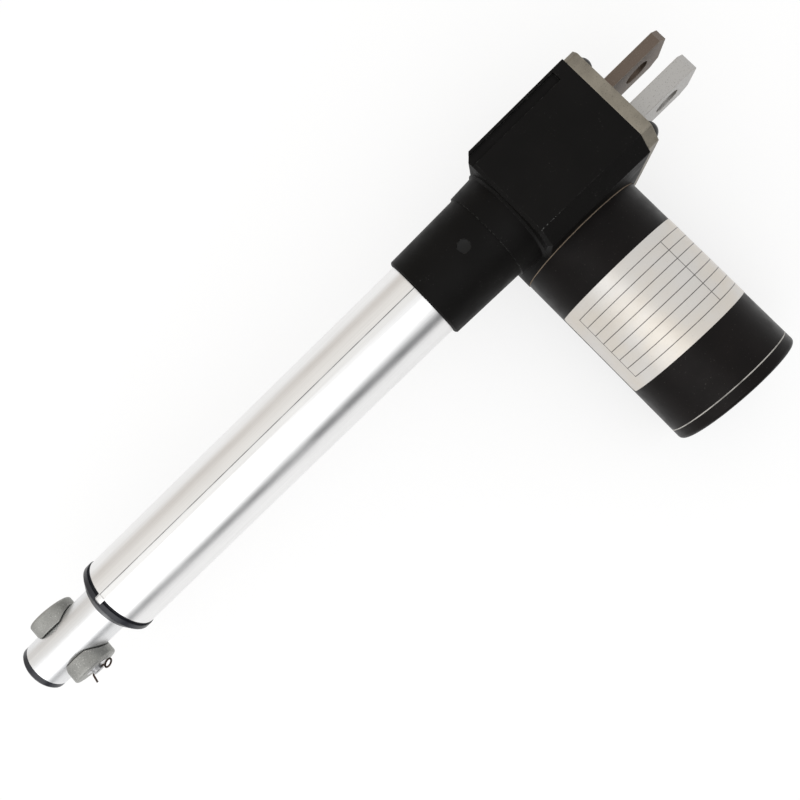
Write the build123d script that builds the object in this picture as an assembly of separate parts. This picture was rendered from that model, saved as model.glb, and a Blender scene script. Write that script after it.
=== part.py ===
from build123d import *
import math
import os

# Electric linear actuator, in millimetres.
# The origin is the centre of the rear clevis hole. X runs along the tube to the rod end,
# Y points along the motor, Z is up as the actuator lies on its side.

# Lengths along X
stroke = 190.0
build_length = 168.0
tube_setback = 33.6
plate_back_x = 21.1
plate_thickness = 5.7
housing_length = 55.2
neck_length = 12.5
collar_length = 38.5

# Gear housing and its top chamfer
housing_half_width = 25.6
housing_top_z = 27.4
housing_bottom_z = -46.0
chamfer_width = 6.9
chamfer_drop = 7.0
edge_radius = 2.2
front_edge_chamfer = 1.4
front_corner_cut = 3.0
plate_inset = 1.1
plate_corner_cut = 2.5
plate_corner_radius = 2.0
neck_radius_rear = 23.1
neck_radius_front = 22.6
neck_root_depth = 10.0
neck_flare = 1.0
collar_radius_rear = 21.8
collar_radius_front = 21.2
collar_edge = 0.8
trough_start_x = 33.0
trough_lip = 1.2
trough_width = 4.4
trough_depth = 1.5

# Rear clevis
clevis_hole_radius = 6.0
ear_half_height = 12.9
ear_reach = 14.5
ear_corner_cut = 4.0
near_ear_inner_y = 4.0
near_ear_thickness = 8.3
far_ear_inner_y = -5.7
far_ear_thickness = 5.3
ear_root_radius = 1.5

# Screws that hold the clevis plate
plate_screw_y = 18.9
plate_screw_top_z = 20.3
plate_screw_bottom_z = -38.0
plate_screw_radius = 2.5
plate_screw_length = 15.0
plate_screw_head_radius = 4.3
plate_screw_head_height = 3.0
screw_socket_radius = 1.6
screw_socket_depth = 1.7
screw_crown_bulge = 0.72
screw_crown_flat = 0.4

# Outer tube
tube_radius = 19.0
tube_wall = 2.0
tube_seat_depth = 41.0
tube_groove_width = 3.0
tube_groove_depth = 0.45
groove_angle = -3.5
key_tab_width = 3.8
key_tab_length = 3.0
key_tab_clearance = 0.1
lock_screw_x = 106.5
lock_screw_radius = 3.0
lock_screw_recess = 0.5
lock_screw_dip = 0.4
lock_hole_start = 1.0
collar_seal_x = 125.0
collar_seal_width = 2.6
collar_seal_height = 1.3

# Front guide ring and its wiper
ring_overhang = 0.5
ring_step_drop = 0.7
ring_step_length = 1.3
ring_flange_length = 4.4
ring_edge = 0.8
ring_nose_length = 4.0
ring_nose_radius = 13.6
ring_shoulder_rise = 1.9
ring_shoulder_share = 0.7
ring_spigot_length = 4.4
wiper_width = 2.6
wiper_height = 2.4
wiper_inset = 1.2

# Push rod, its nut and its end
rod_radius = 12.0
rod_wall = 2.5
rod_end_margin = 16.3
slide_clearance = 0.08
nut_rear_x = 97.0
nut_length = 24.0
nut_spigot_length = 12.0
nut_radial_gap = 0.2
nut_flat_gap = 1.4
plug_length = 29.0
plug_flange_radius = 11.9
plug_flange_length = 3.4
plug_edge = 0.8
pin_radius = 5.0
pin_tip_radius = 2.6
pin_tip_length = 2.2
pin_tip_edge = 0.4
cross_bush_wall = 1.5
saddle_radius = 10.6
saddle_outer_y = 17.0
saddle_inner_y = 8.8
saddle_edge_radius = 1.2
saddle_gap = 0.5
saddle_seat_radius = 7.5
cotter_wire_radius = 0.45
cotter_offset = 1.2
cotter_overhang = 0.1
cotter_bend_radius = 1.0
cotter_leg_turn = 80.0
cotter_leg_length = 3.4
cotter_eye_turn = 60.0
cotter_eye_radius = 2.0
cotter_eye_reach = 5.6
cotter_eye_rise = 1.0
cotter_eye_tilt = 45.0

# Worm and wheel teeth
wheel_teeth = 25
gear_module = 1.6
worm_starts = 2
pressure_angle = 20.0
tooth_backlash = 0.35
root_clearance = 0.4

# Lead screw with its wheel and bearings
screw_radius = 6.0
screw_rear_x = 37.0
screw_end_chamfer = 0.8
screw_overhang = 2.6
stop_washer_radius = 8.4
stop_washer_thickness = 2.0
wheel_width = 11.0
wheel_hub_radius = 8.5
web_outer_radius = 15.0
web_depth = 3.0
bearing_width = 8.0
bearing_outer_radius = 14.0
bearing_ring_wall = 2.6
shield_gap = 0.15
shield_inset = 0.3
shield_thickness = 0.5
rear_bearing_x = 41.0
lock_nut_radius = 9.0
lock_nut_margin = 0.4
clip_thickness = 1.2
clip_radius = 8.4
clip_opening = 0.8
front_bearing_gap = 3.3
spindle_room = 1.0
chamber_clearance = 0.8
worm_chamber_radius = 11.0
block_clearance = 0.05
spindle_bore_radius = 10.0

# Limit switches inside the tube
strip_width = 7.0
strip_thickness = 1.2
strip_end_gap = 0.6
switch_width = 6.0
rear_switch_length = 3.8
rear_switch_gap = 3.9
front_switch_length = 5.0
front_switch_gap = 0.7
front_switch_margin = 1.0
switch_gap = 0.4

# Motor, its axis parallel to Y
motor_x = 60.2
motor_z = -27.3
motor_radius = 32.2
can_wall = 1.5
socket_radius = 32.5
socket_length = 14.6
gasket_thickness = 0.4
can_length = 93.0
cap_thickness = 6.0
cap_edge_radius = 2.0
cap_spigot_length = 5.0
cap_spigot_wall = 2.0
cap_seat_floor = 1.0
cap_shaft_room = 2.0
label_start = 22.5
label_width = 46.0
label_thickness = 0.12
label_glue = 0.03
label_sweep = 180.0
label_start_turn = 3.0
label_corner_radius = 2.0
fit_gap = 0.05
gasket_inset = 0.3

# Motor shaft and what turns with it
shaft_radius = 4.0
shaft_gap = 1.0
shaft_chamfer = 0.5
shaft_end_gap = 0.3
shaft_end_y = -22.0
shaft_bush_length = 6.0
shaft_bush_radius = 8.0
worm_length = 22.0
motor_bearing_radius = 11.0
motor_bearing_width = 7.0
core_radius = 22.5
core_start = 20.0
core_length = 46.0
core_slots = 12
slot_width = 3.0
slot_depth = 11.0
winding_length = 6.0
winding_radius = 20.5
winding_inner_radius = 9.0
winding_lean = 1.5
commutator_radius = 9.5
commutator_length = 11.0
commutator_gap = 0.5

# Motor parts that stand still
flange_thickness = 4.0
bearing_boss_wall = 2.2
magnet_length = 54.0
magnet_sweep = 120.0
air_gap = 0.8
card_thickness = 2.0
card_gap = 2.5
card_bore_gap = 2.0
brush_size = 5.0
brush_length = 9.0
holder_wall = 1.5
holder_gap = 1.5
brush_spring_room = 1.0
bolt_radius = 2.0
bolt_head_radius = 3.2
bolt_head_height = 2.4
bolt_thread_depth = 8.0

# Power inlet in the motor's end cap
inlet_width = 15.0
inlet_height = 9.5
inlet_depth = 11.0
inlet_wall = 1.5
inlet_flange = 1.5
inlet_flange_thickness = 1.2
inlet_drop = 19.0
inlet_pin_radius = 0.8
inlet_pin_spacing = 8.8
inlet_pin_length = 6.0

# Places worked out from the sizes above
retracted_length = stroke + build_length
tube_front_x = retracted_length - tube_setback
screw_front_x = tube_front_x + screw_overhang
plate_front_x = plate_back_x + plate_thickness
housing_front_x = plate_front_x + housing_length
neck_front_x = housing_front_x + neck_length
collar_front_x = neck_front_x + collar_length
tube_rear_x = collar_front_x - tube_seat_depth
tube_bore_radius = tube_radius - tube_wall
ring_radius = tube_radius + ring_overhang
strip_z = -math.sqrt(tube_bore_radius**2 - (strip_width / 2) ** 2)
strip_top_z = strip_z + strip_thickness
rod_bore_radius = rod_radius - rod_wall
rod_front_x = retracted_length + rod_end_margin
nut_front_x = nut_rear_x + nut_length
wheel_pitch_radius = gear_module * wheel_teeth / 2
worm_pitch_radius = -motor_z - wheel_pitch_radius
axial_pitch = math.pi * gear_module
worm_lead = worm_starts * axial_pitch
lead_angle = math.atan2(worm_lead, 2 * math.pi * worm_pitch_radius)
worm_tip_radius = worm_pitch_radius + gear_module
worm_root_radius = worm_pitch_radius - gear_module - root_clearance
wheel_tip_radius = wheel_pitch_radius + gear_module
wheel_root_radius = wheel_pitch_radius - gear_module - root_clearance
chamber_radius = wheel_tip_radius + chamber_clearance
wheel_rear_x = motor_x - wheel_width / 2
rear_bearing_end_x = rear_bearing_x + bearing_width
wheel_front_x = motor_x + wheel_width / 2
front_bearing_x = wheel_front_x + front_bearing_gap
can_start_y = housing_half_width + gasket_thickness
can_end_y = can_start_y + can_length
cap_end_y = can_end_y + cap_thickness
can_bore_radius = motor_radius - can_wall
core_start_y = can_start_y + core_start
core_end_y = core_start_y + core_length
commutator_start_y = core_end_y + winding_length + commutator_gap
commutator_end_y = commutator_start_y + commutator_length
cap_bearing_end_y = can_end_y - cap_seat_floor
cap_bearing_start_y = cap_bearing_end_y - motor_bearing_width
bolt_circle_radius = (core_radius + can_bore_radius) / 2
front_motor_bearing_y = can_start_y + flange_thickness
card_start_y = commutator_start_y + brush_size + card_gap


def along_x(radius, start, end, y=0.0, z=0.0):
    """A round bar along X."""
    return Pos((start + end) / 2, y, z) * Rot(0, 90, 0) * Cylinder(radius, end - start)


def along_y(radius, start, end, x=0.0, z=0.0):
    """A round bar along Y."""
    return Pos(x, (start + end) / 2, z) * Rot(90, 0, 0) * Cylinder(radius, end - start)


def along_motor(radius, start, end):
    """A round bar on the motor's axis."""
    return along_y(radius, start, end, motor_x, motor_z)


def ring_on_x(outer, inner, start, end):
    """A round tube on the X axis."""
    return along_x(outer, start, end) - along_x(inner, start, end)


def ring_on_motor(outer, inner, start, end):
    """A round tube on the motor's axis."""
    return along_motor(outer, start, end) - along_motor(inner, start, end)


def block(x0, x1, y0, y1, z0, z1):
    """A box between two corners."""
    return Pos((x0 + x1) / 2, (y0 + y1) / 2, (z0 + z1) / 2) * Box(x1 - x0, y1 - y0, z1 - z0)


def turned_on_x(*profile):
    """A piece turned about X from points of (x, radius)."""
    outline = Polyline(*[(x, radius) for x, radius in profile], close=True)
    return revolve(make_face(outline), Axis.X, 360)


def turned_on_motor(*profile):
    """A piece turned about the motor's axis from points of (y, radius)."""
    outline = Polyline(*[(radius, y) for y, radius in profile], close=True)
    return Pos(motor_x, 0, motor_z) * revolve(make_face(outline), Axis.Y, 360)


def side_outline(side_y):
    """The outline seen along X, up to side_y at the motor's side."""
    with BuildSketch(Plane.YZ) as section:
        with BuildLine():
            Polyline(
                (-housing_half_width, housing_bottom_z),
                (side_y, housing_bottom_z),
                (side_y, housing_top_z - chamfer_drop),
                (housing_half_width - chamfer_width, housing_top_z),
                (-housing_half_width, housing_top_z),
                close=True,
            )
        make_face()
        fillet(section.vertices().group_by(Axis.Y)[0], edge_radius)
    return section.sketch


def plate_outline():
    """The clevis plate's outline, a little smaller than the housing's, with rounded top corners."""
    outline = side_outline(housing_half_width - plate_inset)
    far_corner = outline.vertices().sort_by(Axis.Y)[:3].sort_by(Axis.Z)[-1]
    outline = chamfer(far_corner, plate_corner_cut)
    top_corners = outline.vertices().filter_by(lambda v: v.Z > 0)
    return fillet(top_corners, plate_corner_radius)


def plate_screw_places():
    """The four plate screws as (y, z)."""
    return [(side * plate_screw_y, z) for side in (-1, 1) for z in (plate_screw_top_z, plate_screw_bottom_z)]


def gear_housing():
    box = extrude(Pos(plate_front_x, 0, 0) * side_outline(housing_half_width), housing_length)
    front_edges = box.faces().sort_by(Axis.X)[-1].edges()
    body = chamfer(front_edges, front_edge_chamfer)
    body -= front_corner() + edge_trough()
    body += turned_on_x(
        (housing_front_x - neck_root_depth, 0),
        (housing_front_x - neck_root_depth, neck_radius_rear),
        (housing_front_x - front_edge_chamfer, neck_radius_rear),
        (housing_front_x - front_edge_chamfer, neck_radius_rear + neck_flare),
        (housing_front_x, neck_radius_rear + neck_flare),
        (housing_front_x + neck_flare, neck_radius_rear),
        (neck_front_x, neck_radius_front),
        (neck_front_x, collar_radius_rear),
        (collar_front_x - collar_edge, collar_radius_front),
        (collar_front_x, collar_radius_front - collar_edge),
        (collar_front_x, 0),
    )
    body += along_motor(socket_radius, housing_half_width - socket_length, housing_half_width)
    body -= along_x(chamber_radius, plate_front_x, wheel_front_x + front_bearing_gap)
    body -= along_x(bearing_outer_radius, front_bearing_x, front_bearing_x + bearing_width)
    body -= along_x(spindle_bore_radius, front_bearing_x, tube_rear_x)
    body -= along_x(tube_radius, tube_rear_x, collar_front_x)
    body -= along_motor(worm_chamber_radius, shaft_end_y + shaft_bush_length, housing_half_width)
    body -= along_motor(shaft_bush_radius, shaft_end_y, shaft_end_y + shaft_bush_length)
    body -= along_x(tube_radius + collar_seal_height, collar_seal_x, collar_seal_x + collar_seal_width)
    body -= lock_screw_hole()
    for y, z in plate_screw_places():
        body -= along_x(plate_screw_radius, plate_front_x, plate_front_x + plate_screw_length, y, z)
    for x in bolt_x_places():
        body -= along_y(bolt_radius, housing_half_width - bolt_thread_depth, housing_half_width, x, motor_z)
    return body


def front_corner():
    """What is cut off the upright corner beside the neck, away from the motor."""
    side = front_corner_cut * math.sqrt(2)
    tall = housing_top_z - housing_bottom_z
    middle_z = (housing_top_z + housing_bottom_z) / 2
    return Pos(housing_front_x, -housing_half_width, middle_z) * Rot(0, 0, 45) * Box(side, side, tall + 1)


def edge_trough():
    """The trough behind the lip on the top edge, open at the front."""
    outer_y = trough_lip - housing_half_width
    floor_z = housing_top_z - trough_depth
    return block(trough_start_x, housing_front_x, outer_y, outer_y + trough_width, floor_z, housing_top_z + 1)


def rear_clevis():
    plate = extrude(Pos(plate_back_x, 0, 0) * plate_outline(), plate_thickness)
    with BuildSketch(Plane.XZ) as side:
        with BuildLine():
            Polyline(
                (plate_back_x, -ear_half_height),
                (ear_corner_cut - ear_reach, -ear_half_height),
                (-ear_reach, ear_corner_cut - ear_half_height),
                (-ear_reach, ear_half_height - ear_corner_cut),
                (ear_corner_cut - ear_reach, ear_half_height),
                (plate_back_x, ear_half_height),
                close=True,
            )
        make_face()
    near = Pos(0, near_ear_inner_y + near_ear_thickness, 0) * extrude(side.sketch, near_ear_thickness)
    far = Pos(0, far_ear_inner_y, 0) * extrude(side.sketch, far_ear_thickness)
    body = plate + near + far
    upright = body.edges().filter_by(Axis.Z)
    roots = upright.filter_by(lambda e: abs(e.center().X - plate_back_x) < 0.01)
    roots = roots.filter_by(lambda e: e.length < 2 * ear_half_height + 0.1)
    body = fillet(roots, ear_root_radius)
    far_side_y = far_ear_inner_y - far_ear_thickness
    near_side_y = near_ear_inner_y + near_ear_thickness
    body -= along_y(clevis_hole_radius, far_side_y, near_side_y)
    for y, z in plate_screw_places():
        body -= along_x(plate_screw_radius, plate_back_x, plate_front_x, y, z)
    return body


def button_screw():
    """A button head screw along +X, its head's underside at the origin."""
    radius = plate_screw_head_radius
    shank = plate_screw_radius
    height = plate_screw_head_height
    end_x = plate_thickness + plate_screw_length
    crown_middle = (-height * screw_crown_bulge, radius * screw_crown_bulge)
    crown_end = (-height, radius * screw_crown_flat)
    with BuildSketch(Plane.XY) as half:
        with BuildLine():
            Polyline((-height, 0), (end_x, 0), (end_x, shank), (0, shank), (0, radius))
            ThreePointArc((0, radius), crown_middle, crown_end)
            Line(crown_end, (-height, 0))
        make_face()
    screw = revolve(half.sketch, Axis.X, 360)
    with BuildSketch(Plane.YZ) as socket:
        RegularPolygon(screw_socket_radius, 6)
    return screw - extrude(Pos(-height, 0, 0) * socket.sketch, screw_socket_depth)


def clevis_screws():
    return [Pos(plate_back_x, y, z) * button_screw() for y, z in plate_screw_places()]


def outer_tube():
    body = ring_on_x(tube_radius, tube_bore_radius, tube_rear_x, tube_front_x)
    half = tube_groove_width / 2
    floor_z = tube_radius - tube_groove_depth
    groove = block(collar_front_x, tube_front_x, -half, half, floor_z, tube_radius + 1)
    tab_end_x = tube_front_x + key_tab_length
    tab = ring_on_x(tube_radius, tube_bore_radius, tube_front_x, tab_end_x)
    tab &= block(tube_front_x, tab_end_x, -key_tab_width / 2, key_tab_width / 2, 0, tube_radius)
    body -= Rot(-groove_angle, 0, 0) * groove
    body += Rot(-groove_angle, 0, 0) * tab
    return body - lock_screw_hole()


def lock_screw_hole():
    """The hole through the collar and the tube's wall."""
    base = (Align.CENTER, Align.CENTER, Align.MIN)
    place = Pos(lock_screw_x, 0, tube_bore_radius - lock_hole_start)
    return place * Cylinder(lock_screw_radius, collar_radius_rear, align=base)


def tube_lock_screw():
    """A pressed pin with a plain, slightly hollow head."""
    top = collar_radius_rear - lock_screw_recess
    middle_z = (top + tube_bore_radius) / 2
    body = Pos(lock_screw_x, 0, middle_z) * Cylinder(lock_screw_radius, top - tube_bore_radius)
    dish_radius = (lock_screw_radius**2 + lock_screw_dip**2) / (2 * lock_screw_dip)
    return body - Pos(lock_screw_x, 0, top - lock_screw_dip + dish_radius) * Sphere(dish_radius)


def collar_seal():
    return ring_on_x(
        tube_radius + collar_seal_height, tube_radius, collar_seal_x, collar_seal_x + collar_seal_width
    )


def front_guide_ring():
    bore = rod_radius + slide_clearance
    spigot_x = tube_front_x - ring_spigot_length
    step_x = tube_front_x + ring_step_length
    flange_x = tube_front_x + ring_flange_length
    nose_x = flange_x + ring_nose_length
    wiper_x = tube_front_x + wiper_inset
    body = turned_on_x(
        (spigot_x, bore),
        (spigot_x, tube_bore_radius),
        (tube_front_x, tube_bore_radius),
        (tube_front_x, tube_radius - ring_step_drop),
        (step_x, tube_radius - ring_step_drop),
        (step_x, ring_radius),
        (flange_x - ring_edge, ring_radius),
        (flange_x, ring_radius - ring_edge),
        (flange_x + ring_nose_length * ring_shoulder_share, ring_nose_radius + ring_shoulder_rise),
        (nose_x, ring_nose_radius),
        (nose_x, bore),
    )
    body -= along_x(rod_radius + wiper_height, wiper_x, wiper_x + wiper_width)
    half = key_tab_width / 2 + key_tab_clearance
    floor_z = tube_bore_radius - key_tab_clearance
    notch = block(tube_front_x, tube_front_x + key_tab_length, -half, half, floor_z, ring_radius + 1)
    return body - Rot(-groove_angle, 0, 0) * notch


def wiper_seal():
    wiper_x = tube_front_x + wiper_inset
    return ring_on_x(rod_radius + wiper_height, rod_radius + fit_gap, wiper_x, wiper_x + wiper_width)


def push_rod():
    body = ring_on_x(rod_radius, rod_bore_radius, nut_front_x, rod_front_x)
    return body - along_y(pin_radius, -rod_radius, rod_radius, retracted_length)


def drive_nut():
    """The nut's flat underside keeps it from turning and passes over the switch strip."""
    end_x = nut_front_x + nut_spigot_length
    flat_z = strip_top_z + nut_flat_gap
    body = along_x(tube_bore_radius - nut_radial_gap, nut_rear_x, nut_front_x)
    body -= block(nut_rear_x, nut_front_x, -tube_radius, tube_radius, -tube_radius, flat_z)
    body += along_x(rod_bore_radius, nut_front_x, end_x)
    return body - along_x(screw_radius + slide_clearance, nut_rear_x, end_x)


def rod_plug():
    body = along_x(rod_bore_radius, rod_front_x - plug_length, rod_front_x)
    flange = along_x(plug_flange_radius, rod_front_x, rod_front_x + plug_flange_length)
    body += chamfer(flange.edges().group_by(Axis.X)[-1], plug_edge)
    return body - along_y(pin_radius + cross_bush_wall, -rod_radius, rod_radius, retracted_length)


def cross_bush():
    radius = pin_radius + cross_bush_wall
    half = math.sqrt(rod_bore_radius**2 - radius**2)
    return along_y(radius, -half, half, retracted_length) - along_y(pin_radius, -half, half, retracted_length)


def rod_saddle(side):
    """A round boss that sits on the rod's flank, on side -1 or +1. Only its middle touches the rod."""
    rear_x = retracted_length - saddle_radius
    front_x = retracted_length + saddle_radius
    puck = along_y(saddle_radius, saddle_inner_y, saddle_outer_y, retracted_length)
    puck = fillet(puck.edges().group_by(Axis.Y)[-1], saddle_edge_radius)
    puck -= along_x(rod_radius + saddle_gap, rear_x, front_x)
    seat = along_y(saddle_seat_radius, saddle_inner_y, rod_radius + saddle_gap, retracted_length)
    puck += seat - along_x(rod_radius, rear_x, front_x)
    puck -= along_y(pin_radius, 0, saddle_outer_y, retracted_length)
    return puck if side > 0 else mirror(puck, Plane.XZ)


def clevis_pin():
    """The pin ends flush with both bosses, and a thin tip at one end takes the cotter."""
    tip = along_y(pin_tip_radius, saddle_outer_y, saddle_outer_y + pin_tip_length, retracted_length)
    tip = chamfer(tip.edges().group_by(Axis.Y)[-1], pin_tip_edge)
    body = along_y(pin_radius, -saddle_outer_y, saddle_outer_y, retracted_length) + tip
    hole_y = saddle_outer_y + cotter_offset
    rear_x = retracted_length - pin_tip_radius
    return body - along_x(cotter_wire_radius, rear_x, retracted_length + pin_tip_radius, hole_y)


def cotter_pin():
    """Spring wire through the clevis pin's tip, with an eye at one end and a bent leg at the other."""
    y = saddle_outer_y + cotter_offset
    reach = pin_tip_radius + cotter_overhang
    with BuildLine() as path:
        middle = Line((retracted_length - reach, y), (retracted_length + reach, y))
        bend = JernArc(middle @ 1, (1, 0), cotter_bend_radius, cotter_leg_turn)
        leg = Line(bend @ 1, bend @ 1 + cotter_leg_length * (bend % 1))
        JernArc(middle @ 0, (-1, 0), cotter_bend_radius, -cotter_eye_turn)
    tip = Plane(origin=leg @ 1, z_dir=leg % 1)
    wire = sweep(tip * Circle(cotter_wire_radius), path=path.wire())
    eye = Rot(cotter_eye_tilt, 0, 0) * Torus(cotter_eye_radius, cotter_wire_radius)
    return wire + Pos(retracted_length - cotter_eye_reach, y + cotter_eye_rise, 0) * eye


def lead_screw():
    body = along_x(screw_radius, screw_rear_x, screw_front_x)
    ends = body.edges().group_by(Axis.X)
    return chamfer(ends[0] + ends[-1], screw_end_chamfer)


def polar(radius, angle):
    """A point at a radius and an angle in radians."""
    return (radius * math.cos(angle), radius * math.sin(angle))


def thread_half_angle(radius):
    """Half the angle that a worm thread takes at a radius, seen along the worm."""
    half_width = axial_pitch / 4 - (radius - worm_pitch_radius) * math.tan(math.radians(pressure_angle))
    return 2 * math.pi * half_width / worm_lead


def worm_section():
    """The worm cut square to its axis: one lobe for each start, with straight flanks along the worm."""
    radii = (worm_tip_radius, worm_pitch_radius, worm_root_radius)
    step = 2 * math.pi / worm_starts
    with BuildSketch() as section:
        with BuildLine():
            for start in range(worm_starts):
                crest = start * step
                valley = crest + step / 2
                rising = [polar(r, crest + step - thread_half_angle(r)) for r in reversed(radii)]
                falling = [polar(r, crest + thread_half_angle(r)) for r in radii]
                before = polar(worm_tip_radius, crest - thread_half_angle(worm_tip_radius))
                ThreePointArc(before, polar(worm_tip_radius, crest), falling[0])
                Spline(*falling)
                ThreePointArc(falling[-1], polar(worm_root_radius, valley), rising[0])
                Spline(*rising)
        make_face()
    return section.sketch


def involute_angle(radius):
    """The involute's own angle at a radius, which is none inside the base circle."""
    base = wheel_pitch_radius * math.cos(math.radians(pressure_angle))
    roll = math.acos(base / max(radius, base))
    return math.tan(roll) - roll


def tooth_half_angle(radius):
    """Half the angle that a wheel tooth takes at a radius."""
    at_pitch = (axial_pitch - 2 * tooth_backlash) / 4 / wheel_pitch_radius
    return at_pitch + involute_angle(wheel_pitch_radius) - involute_angle(radius)


def wheel_section():
    """The toothed outline of the wheel, with a gap between two teeth at angle 0."""
    middle = (wheel_root_radius + wheel_pitch_radius) / 2
    radii = (wheel_root_radius, middle, wheel_pitch_radius, wheel_tip_radius)
    step = 2 * math.pi / wheel_teeth
    points = []
    for tooth in range(wheel_teeth):
        centre = (tooth + 0.5) * step
        points += [polar(r, centre - tooth_half_angle(r)) for r in radii]
        points += [polar(r, centre + tooth_half_angle(r)) for r in reversed(radii)]
    return make_face(Polyline(*points, close=True))


def twisted(section, length, turn):
    """A section drawn out along Z while it turns, with its middle as drawn."""
    prism = Solid.extrude_linear_with_rotation(section.face(), (0, 0, 0), (0, 0, length), turn)
    return Pos(0, 0, -length / 2) * Rot(0, 0, -turn / 2) * prism


def worm_wheel():
    """A helical wheel with a hub on both sides and a sunk web."""
    turn = math.degrees(wheel_width * math.tan(lead_angle) / wheel_pitch_radius)
    rim = Pos(motor_x, 0, 0) * Rot(0, 90, 0) * twisted(wheel_section(), wheel_width, turn)
    rim -= ring_on_x(web_outer_radius, wheel_hub_radius, wheel_rear_x, wheel_rear_x + web_depth)
    rim -= ring_on_x(web_outer_radius, wheel_hub_radius, wheel_front_x - web_depth, wheel_front_x)
    rim += along_x(wheel_hub_radius, rear_bearing_end_x, front_bearing_x)
    return rim - along_x(screw_radius, rear_bearing_end_x, front_bearing_x)


def bearing_outer(start, width, outer, inner):
    """The outer ring of a shielded bearing on the X axis."""
    race = outer - bearing_ring_wall
    ring = ring_on_x(outer, race, start, start + width)
    shield_inner = inner + bearing_ring_wall + shield_gap
    for x in (start + shield_inset, start + width - shield_inset - shield_thickness):
        ring += ring_on_x(race, shield_inner, x, x + shield_thickness)
    return ring


def bearing_inner(start, width, inner):
    """The inner ring of a bearing on the X axis."""
    return ring_on_x(inner + bearing_ring_wall, inner, start, start + width)


def on_motor(piece):
    """Turns a piece made on the X axis onto the motor's axis, so that its x becomes y."""
    return Pos(motor_x, 0, motor_z) * Rot(0, 0, 90) * piece


def bearing_block():
    body = along_x(chamber_radius - block_clearance, plate_front_x, rear_bearing_end_x)
    body -= along_x(bearing_outer_radius, rear_bearing_x, rear_bearing_end_x)
    return body - along_x(spindle_bore_radius, screw_rear_x - spindle_room, rear_bearing_x)


def spindle_lock_nut():
    start = screw_rear_x + lock_nut_margin
    with BuildSketch(Plane.YZ) as hexagon:
        RegularPolygon(lock_nut_radius, 6)
        Circle(screw_radius, mode=Mode.SUBTRACT)
    return extrude(Pos(start, 0, 0) * hexagon.sketch, rear_bearing_x - start)


def spindle_clip():
    start = front_bearing_x + bearing_width
    end = start + clip_thickness
    half = screw_radius * clip_opening
    return ring_on_x(clip_radius, screw_radius, start, end) - block(start, end, -half, half, 0, clip_radius)


def spindle_stop():
    return ring_on_x(stop_washer_radius, screw_radius, screw_front_x - stop_washer_thickness, screw_front_x)


def switch_strip():
    """A board on the tube's inner wall."""
    half = strip_width / 2
    end_x = tube_front_x - ring_spigot_length - strip_end_gap
    return block(tube_rear_x + strip_end_gap, end_x, -half, half, strip_z, strip_top_z)


def limit_switches():
    half = switch_width / 2
    rear_end = nut_rear_x - switch_gap
    rear_top = -screw_radius - rear_switch_gap
    front_start = nut_front_x + stroke + switch_gap + front_switch_margin
    front_top = -rod_radius - front_switch_gap
    rear = block(rear_end - rear_switch_length, rear_end, -half, half, strip_top_z, rear_top)
    front = block(front_start, front_start + front_switch_length, -half, half, strip_top_z, front_top)
    return [rear, front]


def motor_gasket():
    return ring_on_motor(socket_radius - gasket_inset, can_bore_radius, housing_half_width, can_start_y)


def motor_can():
    return ring_on_motor(motor_radius, can_bore_radius, can_start_y, can_end_y)


def motor_label():
    """A foil round the can's upper half, with rounded corners."""
    start = can_start_y + label_start
    with BuildSketch(Plane.XY) as strip:
        with Locations((motor_radius + label_glue + label_thickness / 2, start + label_width / 2)):
            Rectangle(label_thickness, label_width)
    foil = revolve(strip.sketch, Axis.Y, label_sweep)
    corners = foil.edges().filter_by(lambda e: e.length < 2 * label_thickness)
    foil = fillet(corners, label_corner_radius)
    return Pos(motor_x, 0, motor_z) * Rot(0, -label_start_turn - label_sweep, 0) * foil


def motor_flange():
    """The front plate of the motor, with the seat of its front bearing."""
    bearing_start = can_start_y + flange_thickness
    boss = motor_bearing_radius + bearing_boss_wall
    body = along_motor(can_bore_radius, can_start_y, bearing_start)
    body += along_motor(boss, bearing_start, bearing_start + motor_bearing_width)
    body -= along_motor(motor_bearing_radius, bearing_start, bearing_start + motor_bearing_width)
    body -= along_motor(shaft_radius + shaft_gap, can_start_y, bearing_start)
    for x in bolt_x_places():
        body -= along_y(bolt_radius, can_start_y, bearing_start, x, motor_z)
    return body


def bolt_x_places():
    """The two long bolts lie on both sides of the motor's axis."""
    return [motor_x - bolt_circle_radius, motor_x + bolt_circle_radius]


def motor_magnets():
    inner = core_radius + air_gap
    middle_y = core_start_y + core_length / 2
    with BuildSketch(Plane.XY) as section:
        with Locations(((inner + can_bore_radius) / 2, middle_y)):
            Rectangle(can_bore_radius - inner, magnet_length)
    arc = revolve(section.sketch, Axis.Y, magnet_sweep)
    place = Pos(motor_x, 0, motor_z)
    return [place * Rot(0, turn - magnet_sweep / 2, 0) * arc for turn in (90, 270)]


def brush_card():
    end_y = card_start_y + card_thickness
    body = ring_on_motor(can_bore_radius, commutator_radius + card_bore_gap, card_start_y, end_y)
    for x in bolt_x_places():
        body -= along_y(bolt_radius, card_start_y, end_y, x, motor_z)
    reach = commutator_radius + holder_gap
    half = brush_size / 2 + holder_wall
    for side in (-1, 1):
        z0 = motor_z + side * reach
        z1 = z0 + side * (brush_length + brush_spring_room)
        x0 = motor_x - half
        holder = block(x0, x0 + 2 * half, card_start_y - 2 * half, card_start_y, min(z0, z1), max(z0, z1))
        body += holder - brush(side, brush_spring_room)
    return body


def brush(side, extra=0.0):
    """One carbon brush, and its slot where extra length is given."""
    middle_y = card_start_y - brush_size / 2 - holder_wall
    z0 = motor_z + side * (commutator_radius + fit_gap)
    z1 = z0 + side * (brush_length + extra)
    half = brush_size / 2
    x0 = motor_x - half
    return block(x0, x0 + brush_size, middle_y - half, middle_y + half, min(z0, z1), max(z0, z1))


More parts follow.
